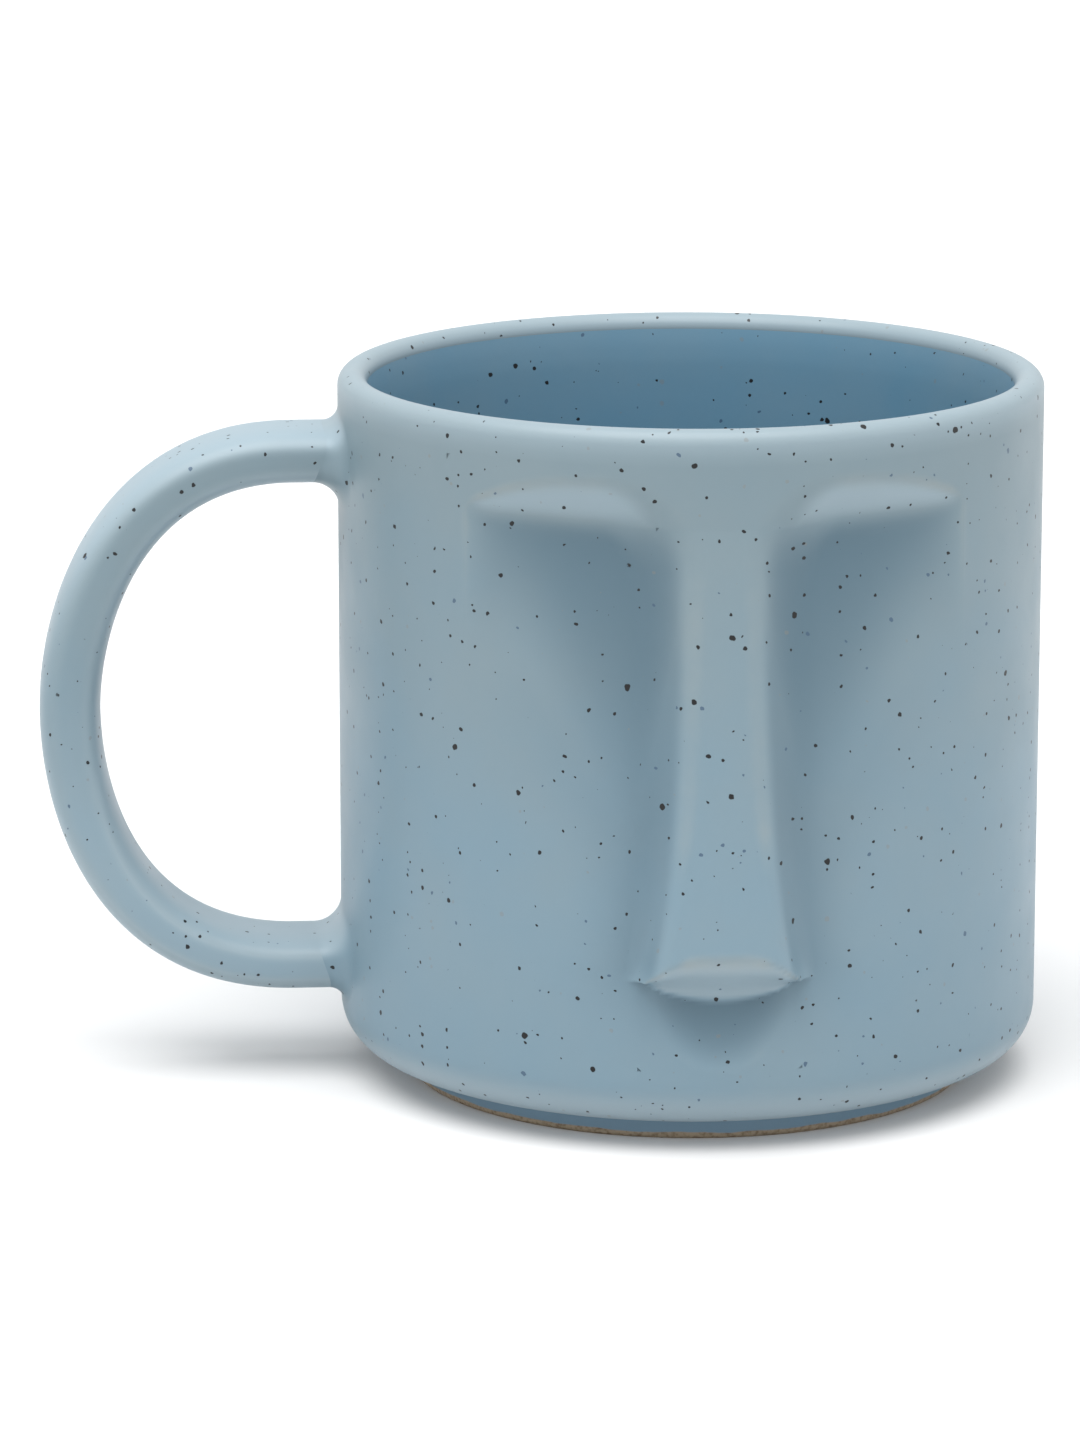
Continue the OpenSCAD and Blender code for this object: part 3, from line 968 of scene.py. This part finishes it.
    def build(self) -> dict[str, bpy.types.Object]:
        """Builds the panel and the nose, which share the nose's edge.

        Returns:
            The pieces by the node that they stand for.
        """
        rows = int((self.top_z - self.bottom_z) / self.grid)
        zs = np.linspace(self.top_z, self.bottom_z, rows + 1)[::-1]
        edge = self.nose_edge(zs)[:, None]
        nose_cols = int(2 * edge.max() / self.grid)
        side_cols = int((self.half_s - edge.min()) / self.grid)
        side = np.linspace(0, 1, side_cols + 1)[None]
        s = np.concatenate(
            [
                mix(-self.half_s, -edge, side[:, :-1]),
                mix(-edge, edge, np.linspace(0, 1, nose_cols + 1)[None]),
                mix(edge, self.half_s, side[:, 1:]),
            ],
            axis=1,
        )
        front = sample(self.surface, s, zs)
        self.paint_shading(front, s, zs)
        first, last = 1, int(np.searchsorted(zs, self.bridge_z))
        nose_rows = slice(first, last + 1)
        nose_part = slice(side_cols, side_cols + nose_cols + 1)
        nose = front.part(nose_rows, nose_part)
        nose_s, nose_z = s[nose_rows, nose_part], np.broadcast_to(zs[nose_rows, None], nose.points.shape[:2])
        low = np.minimum(self.relief(edge[nose_rows], nose_z), self.relief(nose_s, nose_z))
        seat = nose.points.copy()
        seat[1:-1, 1:-1] = self.placed(nose_s, nose_z, low - self.nose_seat)[1:-1, 1:-1]
        back = self.placed(s, np.broadcast_to(zs[:, None], s.shape), -self.socket_depth - self.panel_min_t)
        panel = build_piece(
            "relief_panel",
            [
                front.part(slice(None), slice(0, side_cols + 1)),
                front.part(slice(None), slice(side_cols + nose_cols, None)),
                front.part(slice(0, first + 1), nose_part),
                front.part(slice(last, None), nose_part),
                hidden(seat),
                hidden(back[:, ::-1]),
                bridge(back[0], front.points[0]),
                bridge(front.points[-1], back[-1]),
                bridge(front.points[:, 0], back[:, 0]),
                bridge(back[:, -1], front.points[:, -1]),
            ],
        )
        return {"face_panel": panel, "nose": build_piece("nose_ridge", [nose, hidden(seat[:, ::-1])])}


@dataclass
class CupBody:
    """The round wall with its lip, the floor, the foot ring and the glaze inside."""

    outer_r: float
    height: float
    foot_h: float
    foot_r: float
    floor_z: float
    wall_t: float = 4.4
    lip_t: float = 3.7
    lip_taper_h: float = 16.0
    corner_r: float = 6.0
    inner_corner_r: float = 8.0
    liner_t: float = 0.4
    foot_w: float = 4.4
    foot_edge_r: float = 0.8
    foot_fillet_r: float = 0.9
    # How much paler the wall turns toward the rim, and over what height.
    rim_pale: float = 1.3
    rim_pale_h: float = 4.5
    back_step: float = 1.5
    row_step: float = 1.2
    floor_step: float = 2.5
    foot_step: float = 0.8
    pocket_gap: float = 0.1
    liner_full: float = 3.0

    @property
    def inner_r(self) -> float:
        """Radius of the clay's inside."""
        return self.outer_r - self.wall_t

    @property
    def base_r(self) -> float:
        """Radius of the flat floor."""
        return self.inner_r - self.inner_corner_r

    @property
    def lip_z(self) -> float:
        """Height of the lip's centre."""
        return self.height - self.lip_t / 2

    def body_r(self, z: Array) -> Array:
        """Radius of the outside at a height."""
        below = np.clip(self.foot_h + self.corner_r - z, 0, self.corner_r)
        return self.outer_r - self.corner_r + np.sqrt(self.corner_r**2 - below**2)

    def turned(self, outline: Outline) -> Surface:
        """The surface that an outline makes on the wheel.

        Args:
            outline: The profile.

        Returns:
            A surface over s, the distance round the outside, and the distance walked.
        """

        def surface(s: Array, walked: Array) -> Array:
            """Points of the turned surface.

            Args:
                s: Distances round the outside.
                walked: Distances along the outline.

            Returns:
                The points.
            """
            angle = s / self.outer_r
            r, z = outline.at(walked)
            return np.stack([r * np.sin(angle), -r * np.cos(angle), z], -1)

        return surface

    def round_columns(self, step: float) -> Array:
        """Columns all the way round."""
        half = math.pi * self.outer_r
        return np.linspace(-half, half, int(math.ceil(2 * half / step)) + 1)

    def build_wall(self, relief: FaceRelief) -> bpy.types.Object:
        """Builds the wall, let in behind the face panel.

        Args:
            relief: The face relief that the wall carries.

        Returns:
            The wall.
        """
        lip_r = self.lip_t / 2
        outline = (
            Outline()
            .line(self.base_r, self.foot_h)
            .arc(self.outer_r - self.corner_r, self.foot_h + self.corner_r, self.corner_r, -90, 0)
            .arc(self.outer_r - lip_r, self.lip_z, lip_r, 0, 180)
        )
        corner_z = self.foot_h + self.corner_r
        straight_from = float(outline.lengths()[ARC_POINTS])
        edges = [straight_from + z - corner_z for z in (relief.bottom_z, relief.top_z)]
        rows = np.unique(np.concatenate([outline.stations(self.row_step), edges]).round(5))
        half = math.pi * self.outer_r
        face = np.linspace(-relief.half_s, relief.half_s, int(2 * relief.half_s / relief.grid) + 1)
        rest = np.linspace(relief.half_s, half, int((half - relief.half_s) / self.back_step) + 1)
        columns = np.concatenate([-rest[::-1], face[1:-1], rest])
        outside = sample(self.turned(outline), columns, rows)
        heights = outside.points[..., 2]
        radii = np.hypot(outside.points[..., 0], outside.points[..., 1])
        on_wall = radii > self.outer_r - 0.01
        # Painted shade from the face relief reaches onto the wall around the panel.
        shade_amount = relief.hollow(np.broadcast_to(columns, heights.shape), heights)
        outside.pool = np.where(on_wall, shade_amount, outside.pool)
        # Paler toward the rim, in the same colour as the painted underside light.
        outside.pool -= self.rim_pale * ramp((heights - self.height + self.rim_pale_h) / self.rim_pale_h)
        let_in = (
            (np.abs(columns)[None] < relief.half_s - 1e-6)
            & (heights > relief.bottom_z + 1e-3)
            & (heights < relief.top_z - 1e-3)
            & on_wall
        )
        pocket_r = self.outer_r - relief.socket_depth - relief.panel_min_t - self.pocket_gap
        outside.points[let_in, :2] *= pocket_r / self.outer_r
        by_row = np.flatnonzero(let_in.any(axis=1))
        by_col = np.flatnonzero(let_in.any(axis=0))
        low, high = by_row[0] - 1, by_row[-1] + 1
        left, right = by_col[0] - 1, by_col[-1] + 1
        pocket = hidden(outside.points[low : high + 1, left : right + 1])
        inner = (
            Outline()
            .line(self.outer_r - self.lip_t, self.lip_z)
            .line(self.inner_r, self.height - self.lip_taper_h)
            .arc(self.base_r, self.floor_z + self.inner_corner_r, self.inner_corner_r, 0, -90)
            .line(self.base_r, self.foot_h)
        )
        inside = sample(self.turned(inner), columns, inner.stations(longest=4.0, turn=15.0))
        return build_piece(
            "glazed_wall",
            [
                outside.part(slice(0, low + 1), slice(None)),
                outside.part(slice(high, None), slice(None)),
                outside.part(slice(low, high + 1), slice(0, left + 1)),
                outside.part(slice(low, high + 1), slice(right, None)),
                pocket,
                inside,
            ],
        )

    def build_liner(self) -> bpy.types.Object:
        """Builds the glaze coat inside, from the lip to the middle of the floor.

        Returns:
            The liner, which thins to nothing at the lip.
        """
        corner_z = self.floor_z + self.inner_corner_r
        taper_z = np.linspace(self.lip_z, self.height - self.lip_taper_h, 25)
        outline = Outline()
        for z in taper_z:
            share = (self.lip_z - z) / (taper_z[0] - taper_z[-1])
            coat = self.liner_t * (1 - max(1 - self.liner_full * share, 0) ** 2)
            outline.line(mix(self.outer_r - self.lip_t, self.inner_r, share) - coat, z)
        outline.arc(self.base_r, corner_z, self.inner_corner_r - self.liner_t, 0, -90)
        outline.line(0.0, self.floor_z + self.liner_t)
        under = (
            Outline()
            .line(0.0, self.floor_z)
            .arc(self.base_r, corner_z, self.inner_corner_r, -90, 0)
            .line(self.inner_r, self.height - self.lip_taper_h)
            .line(self.outer_r - self.lip_t, self.lip_z)
        )
        columns = self.round_columns(self.back_step)
        shown = sample(self.turned(outline), columns, outline.stations(self.row_step * 1.5))
        s, walked = np.meshgrid(columns, under.stations(longest=6.0, turn=20.0))
        return build_piece("poured_liner", [shown, hidden(self.turned(under)(s, walked))])

    def build_turned(self, name: str, outline: Outline, step: float) -> bpy.types.Object:
        """Builds a closed turned piece.

        Args:
            name: The piece's name.
            outline: Its profile, walked so that the piece is on the left.
            step: Longest row in millimetres.

        Returns:
            The piece.
        """
        corners = outline.lengths()[self._sharp(outline)]
        rows = outline.stations(step)
        surface = self.turned(outline)
        columns = self.round_columns(self.back_step)
        patches = []
        ends = [0.0, *corners, float(outline.lengths()[-1])]
        for start, end in zip(ends[:-1], ends[1:]):
            inner = rows[(rows > start + 1e-4) & (rows < end - 1e-4)]
            off_edge = 2e-3
            patch = sample(surface, columns, np.concatenate([[start + off_edge], inner, [end - off_edge]]))
            patch.points[0], patch.points[-1] = surface(*np.meshgrid(columns, [start, end]))
            patches.append(patch)
        return build_piece(name, patches)

    @staticmethod
    def _sharp(outline: Outline) -> Array:
        """Points where the outline turns by more than 50 degrees."""
        way = np.unwrap(np.arctan2(np.diff(outline.heights), np.diff(outline.radii)))
        return np.flatnonzero(np.abs(np.diff(way)) > math.radians(50)) + 1

    def build_base(self) -> bpy.types.Object:
        """Builds the floor disc.

        Returns:
            The disc.
        """
        outline = (
            Outline()
            .line(0.0, self.foot_h)
            .line(self.base_r, self.foot_h)
            .line(self.base_r, self.floor_z)
            .line(0.0, self.floor_z)
        )
        return self.build_turned("cup_floor", outline, self.floor_step)

    def build_foot(self) -> bpy.types.Object:
        """Builds the foot ring, with its lower edges rounded and a glaze fillet under the wall.

        Returns:
            The ring.
        """
        inner = self.foot_r - self.foot_w
        edge, fillet = self.foot_edge_r, self.foot_fillet_r
        outline = (
            Outline()
            .arc(inner - fillet, self.foot_h - fillet, fillet, 90, 0)
            .arc(inner + edge, edge, edge, 180, 270)
            .arc(self.foot_r - edge, edge, edge, -90, 0)
            .arc(self.foot_r + fillet, self.foot_h - fillet, fillet, 180, 90)
            .line(inner - fillet, self.foot_h)
        )
        return self.build_turned("clay_foot", outline, self.foot_step)


# --- The handle ---


@dataclass
class StrapHandle:
    """A strap bent into a loop, with slip fillets where its arms meet the wall."""

    body: CupBody
    reach: float
    width: float
    upper_arm_drop: float = 9.9
    lower_arm_z: float = 14.8
    belly_z: float = 47.2
    # Painted light: the strap's lower part and its faces toward the finger gap turn paler, standing in for
    # light bounced from the floor.
    low_bounce_light: float = 0.7
    low_light_above: float = 8.0
    low_light_h: float = 30.0
    gap_face_light: float = 0.9
    gap_face_slope: float = 0.7
    end_t: float = 6.8
    mid_t: float = 7.6
    straight: float = 6.0
    squareness: float = 3.2
    upper_arm_bulge: float = 0.78
    upper_belly_bulge: float = 0.35
    lower_belly_bulge: float = 0.386
    lower_arm_bulge: float = 0.8
    gap_fillet_r: float = 3.6
    outer_fillet_r: float = 2.0
    buried: float = 1.6
    taper: float = 1.5
    row_step: float = 0.9
    columns: int = 96
    fillet_rows: int = 16
    path: Outline = field(init=False)
    section: Array = field(init=False)
    section_length: Array = field(init=False)

    def __post_init__(self) -> None:
        """Lays out the centre line and the section."""
        upper_z = self.body.height - self.upper_arm_drop
        start = self.body.outer_r + self.straight
        belly = self.reach - self.mid_t / 2
        self.path = Outline().line(self.body.outer_r - self.buried, upper_z)
        share = np.linspace(0, 1, 121)[:, None]
        upper = self._bezier(
            (start, upper_z),
            (mix(start, belly, self.upper_arm_bulge), upper_z),
            (belly, mix(self.belly_z, upper_z, self.upper_belly_bulge)),
            (belly, self.belly_z),
            share,
        )
        lower = self._bezier(
            (belly, self.belly_z),
            (belly, mix(self.belly_z, self.lower_arm_z, self.lower_belly_bulge)),
            (mix(start, belly, self.lower_arm_bulge), self.lower_arm_z),
            (start, self.lower_arm_z),
            share,
        )
        for x, z in np.concatenate([upper, lower[1:]]):
            self.path.line(float(x), float(z))
        self.path.line(self.body.outer_r - self.buried, self.lower_arm_z)
        angle = np.linspace(0, TAU, 1441)
        aspect = self.width / self.mid_t
        c, s = np.cos(angle) * aspect, np.sin(angle)
        power = self.squareness
        size = (np.abs(c / aspect) ** power + np.abs(s) ** power) ** (-1 / power)
        self.section = np.stack([size * c / aspect, size * s], -1)
        moves = np.diff(self.section, axis=0) * [self.width / 2, self.mid_t / 2]
        self.section_length = np.concatenate([[0], np.cumsum(np.hypot(moves[:, 0], moves[:, 1]))])

    @staticmethod
    def _bezier(
        start: Sequence[float],
        leave: Sequence[float],
        arrive: Sequence[float],
        end: Sequence[float],
        t: Array,
    ) -> Array:
        """Points of a cubic curve.

        Args:
            start: The first point.
            leave: The point that the curve leaves toward.
            arrive: The point that it arrives from.
            end: The last point.
            t: Places along the curve from 0 to 1, as a column.

        Returns:
            The points, one row each.
        """
        a, b, c, d = (np.asarray(point, float)[None] for point in (start, leave, arrive, end))
        return (1 - t) ** 3 * a + 3 * t * (1 - t) ** 2 * b + 3 * t**2 * (1 - t) * c + t**3 * d

    @property
    def girth(self) -> float:
        """Distance round the section."""
        return float(self.section_length[-1])

    def across(self, around: Array) -> tuple[Array, Array]:
        """Unit section: place across the strap and through it, from -1 to 1.

        Args:
            around: Distance round the section in millimetres.

        Returns:
            The two coordinates.
        """
        around = np.mod(around, self.girth)
        return (
            np.interp(around, self.section_length, self.section[:, 0]),
            np.interp(around, self.section_length, self.section[:, 1]),
        )

    def thickness(self, walked: Array) -> Array:
        """Thickness of the strap.

        Args:
            walked: Distances along the strap.

        Returns:
            Thicknesses, which swell from the arms to the belly.
        """
        total = self.path.lengths()[-1]
        arm = self.buried + self.straight
        share = np.clip((walked - arm) / (total - 2 * arm), 0, 1)
        return mix(self.end_t, self.mid_t, np.sin(np.pi * share) ** self.taper)

    def surface(self, around: Array, walked: Array) -> Array:
        """Points of the strap.

        Args:
            around: Distances round the section.
            walked: Distances along the strap.

        Returns:
            The points.
        """
        x, z = self.path.at(walked)
        near = 0.4
        x_next, z_next = self.path.at(walked + near)
        x_last, z_last = self.path.at(walked - near)
        length = np.hypot(x_next - x_last, z_next - z_last)
        dx, dz = (x_next - x_last) / length, (z_next - z_last) / length
        side, through = self.across(around)
        out = through * self.thickness(walked) / 2
        return np.stack([-(x - dz * out), side * self.width / 2, z + dx * out], -1)

    def fillet(self, arm_z: float, gap_side: float) -> Surface:
        """The slip fillet round an arm.

        Args:
            arm_z: Height of the arm's centre line.
            gap_side: 1 where the finger gap is above the arm and -1 where it is below.

        Returns:
            A surface over the distance round the section and the turn from wall to strap, in radians.
        """

        def surface(around: Array, turn: Array) -> Array:
            """Points of the fillet.

            Args:
                around: Distances round the section.
                turn: Angles from the wall to the strap.

            Returns:
                The points.
            """
            side, through = self.across(around)
            toward_gap = ramp(0.5 + 0.5 * through * gap_side)
            radius = mix(self.outer_fillet_r, self.gap_fillet_r, toward_gap)
            off = radius * (1 - np.sin(turn))
            y = side * (self.width / 2 + off)
            z = arm_z + through * (self.end_t / 2 + off)
            wall = np.sqrt(self.body.body_r(z) ** 2 - y**2)
            return np.stack([-(wall + radius * (1 - np.cos(turn))), y, z], -1)

        return surface

    def build(self) -> dict[str, bpy.types.Object]:
        """Builds the strap and its two joints.

        Returns:
            The pieces by the node that they stand for.
        """
        around = np.linspace(0, self.girth, self.columns + 1)
        total = float(self.path.lengths()[-1])
        rows = np.linspace(0.0, total, int(total / self.row_step) + 1)
        strap = sample(self.surface, around, np.clip(rows, 0.01, total - 0.01))
        # Painted light: paler colour low on the strap, on its undersides and on its faces toward the finger
        # gap; the value from sample, worked out on the strap's inward normals, also pales its tops.
        below = self.belly_z + self.low_light_above - strap.points[..., 2]
        strap.pool = strap.pool - self.low_bounce_light * ramp(below / self.low_light_h)
        strap.pool -= UNDERSIDE_LIGHT * ramp(strap.normals[..., 2] / STEEP)
        strap.pool -= self.gap_face_light * ramp(-strap.normals[..., 0] / self.gap_face_slope)
        first, last = (np.broadcast_to(end.mean(0), end.shape) for end in (strap.points[0], strap.points[-1]))
        caps = [
            hidden(np.stack([first, strap.points[0]])[:, ::-1]),
            hidden(np.stack([strap.points[-1], last])[:, ::-1]),
        ]
        pieces = {"handle": build_piece("strap", [strap.flipped(), *caps])}
        upper_z = self.body.height - self.upper_arm_drop
        for node, name, arm_z, gap_side in (
            ("upper_handle_joint", "upper_luting", upper_z, -1.0),
            ("lower_handle_joint", "lower_luting", self.lower_arm_z, 1.0),
        ):
            turns = np.linspace(0, math.pi / 2, self.fillet_rows + 1)
            shown = sample(self.fillet(arm_z, gap_side), around, turns)
            wall_side, strap_side = shown.points[0].copy(), shown.points[-1].copy()
            deep_out, deep_in = wall_side.copy(), strap_side.copy()
            deep_out[:, 0] += self.buried
            deep_in[:, 0] = deep_out[:, 0]
            sides = [bridge(strap_side, deep_in), bridge(deep_in, deep_out), bridge(deep_out, wall_side)]
            pieces[node] = build_piece(name, [shown, *sides])
        return pieces


# --- The studio ---


@dataclass
class Studio:
    """A white sweep under soft, even light, seen by a long lens from the front and a little above."""

    centre: Vector
    distance: float = 800.0
    elevation: float = 13.07
    turn: float = 4.0
    lens_mm: float = 158.8
    sky: float = 0.92
    key: float = 2.45
    key_rise: float = 74.0
    key_turn: float = -24.0
    key_spread: float = 60.0
    floor_colour: str = "#e6e6e6"

    def camera(self) -> None:
        """Adds the camera, aimed at the middle of the mug."""
        turn, rise = math.radians(self.turn), math.radians(self.elevation)
        back = Vector((-math.sin(turn) * math.cos(rise), -math.cos(turn) * math.cos(rise), math.sin(rise)))
        data = bpy.data.cameras.new("camera")
        data.lens = self.lens_mm
        data.sensor_width = 36.0
        data.clip_start, data.clip_end = 0.05, 20.0
        camera = bpy.data.objects.new("camera", data)
        camera.location = self.centre + back * self.distance * MM
        camera.rotation_euler = (-back).to_track_quat("-Z", "Y").to_euler()
        bpy.context.scene.collection.objects.link(camera)
        bpy.context.scene.camera = camera

    def floor(self) -> None:
        """Adds the white sweep."""
        mesh = bpy.data.meshes.new("sweep")
        half = 4.0
        corners = [(x * half, y * half, 0) for x, y in ((-1, -1), (1, -1), (1, 1), (-1, 1))]
        mesh.from_pydata(corners, [], [(0, 1, 2, 3)])
        sweep = bpy.data.objects.new("sweep", mesh)
        bpy.context.scene.collection.objects.link(sweep)
        paper = bpy.data.materials.new("matt_white_paper")
        paper.use_nodes = True
        tree = paper.node_tree
        tree.nodes.clear()
        matt = {"Color": srgb(self.floor_colour), "Roughness": 0.9}
        shader = add_node(tree, "ShaderNodeBsdfDiffuse", inputs=matt).outputs["BSDF"]
        add_node(tree, "ShaderNodeOutputMaterial", inputs={"Surface": shader})
        mesh.materials.append(paper)

    def light(self) -> None:
        """Adds an even white tent and a wide soft box high in front."""
        world = bpy.data.worlds.new("white_tent")
        world.use_nodes = True
        background = world.node_tree.nodes["Background"]
        background.inputs["Color"].default_value = (1.0, 1.0, 1.0, 1.0)
        background.inputs["Strength"].default_value = self.sky
        bpy.context.scene.world = world
        lamp = bpy.data.lights.new("high_soft_box", "SUN")
        lamp.energy = self.key
        lamp.angle = math.radians(self.key_spread)
        holder = bpy.data.objects.new("high_soft_box", lamp)
        rise, turn = math.radians(self.key_rise), math.radians(self.key_turn)
        away = Vector((math.sin(turn) * math.cos(rise), -math.cos(turn) * math.cos(rise), math.sin(rise)))
        holder.location = self.centre + away
        holder.rotation_euler = away.to_track_quat("Z", "Y").to_euler()
        bpy.context.scene.collection.objects.link(holder)


def dress(piece: bpy.types.Object, node: str, material: bpy.types.Material, coat: Coat) -> None:
    """Gives a piece its finish and ties it to the node that it stands for.

    Args:
        piece: The piece.
        node: The node that it stands for.
        material: Its finish.
        coat: The coat that the finish shows.
    """
    piece.data.materials.append(material)
    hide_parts(node)
    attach(piece, "root")
    LOG.info("%s: %d faces, %s", piece.name, len(piece.data.polygons), coat.value)


def main() -> None:
    """Builds the mug in order and lights it."""
    logging.basicConfig(level=logging.INFO, format="%(name)s: %(message)s")
    bpy.context.scene.view_settings.view_transform = "Standard"
    low, high = cad_box
    centre = Vector(((low[0] + high[0]) / 2, 0.0, (low[2] + high[2]) / 2))
    studio = Studio(centre=centre)
    studio.camera()
    studio.floor()
    studio.light()
    wall_low, wall_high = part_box("body_wall")
    body = CupBody(
        outer_r=wall_high.x / MM,
        height=wall_high.z / MM,
        foot_h=wall_low.z / MM,
        foot_r=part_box("foot_ring")[1].x / MM,
        floor_z=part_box("base_disc")[1].z / MM,
    )
    relief = FaceRelief(wall_r=body.outer_r, height=body.height)
    handle_low, handle_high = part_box("handle")
    strap_w = (handle_high.y - handle_low.y) / MM
    strap = StrapHandle(body=body, reach=-handle_low.x / MM, width=strap_w)
    glaze = SpeckledSatinGlaze()
    outside, relief_coat, liner = (glaze.material(c) for c in (Coat.OUTSIDE, Coat.RELIEF, Coat.LINER))
    dress(body.build_wall(relief), "body_wall", outside, Coat.OUTSIDE)
    for node, piece in relief.build().items():
        dress(piece, node, relief_coat, Coat.RELIEF)
    dress(body.build_liner(), "liner_glaze", liner, Coat.LINER)
    dress(body.build_base(), "base_disc", outside, Coat.OUTSIDE)
    dress(body.build_foot(), "foot_ring", SpongedStoneware().material(), Coat.FOOT)
    for node, piece in strap.build().items():
        dress(piece, node, outside, Coat.OUTSIDE)


if __name__ == "__main__":
    main()
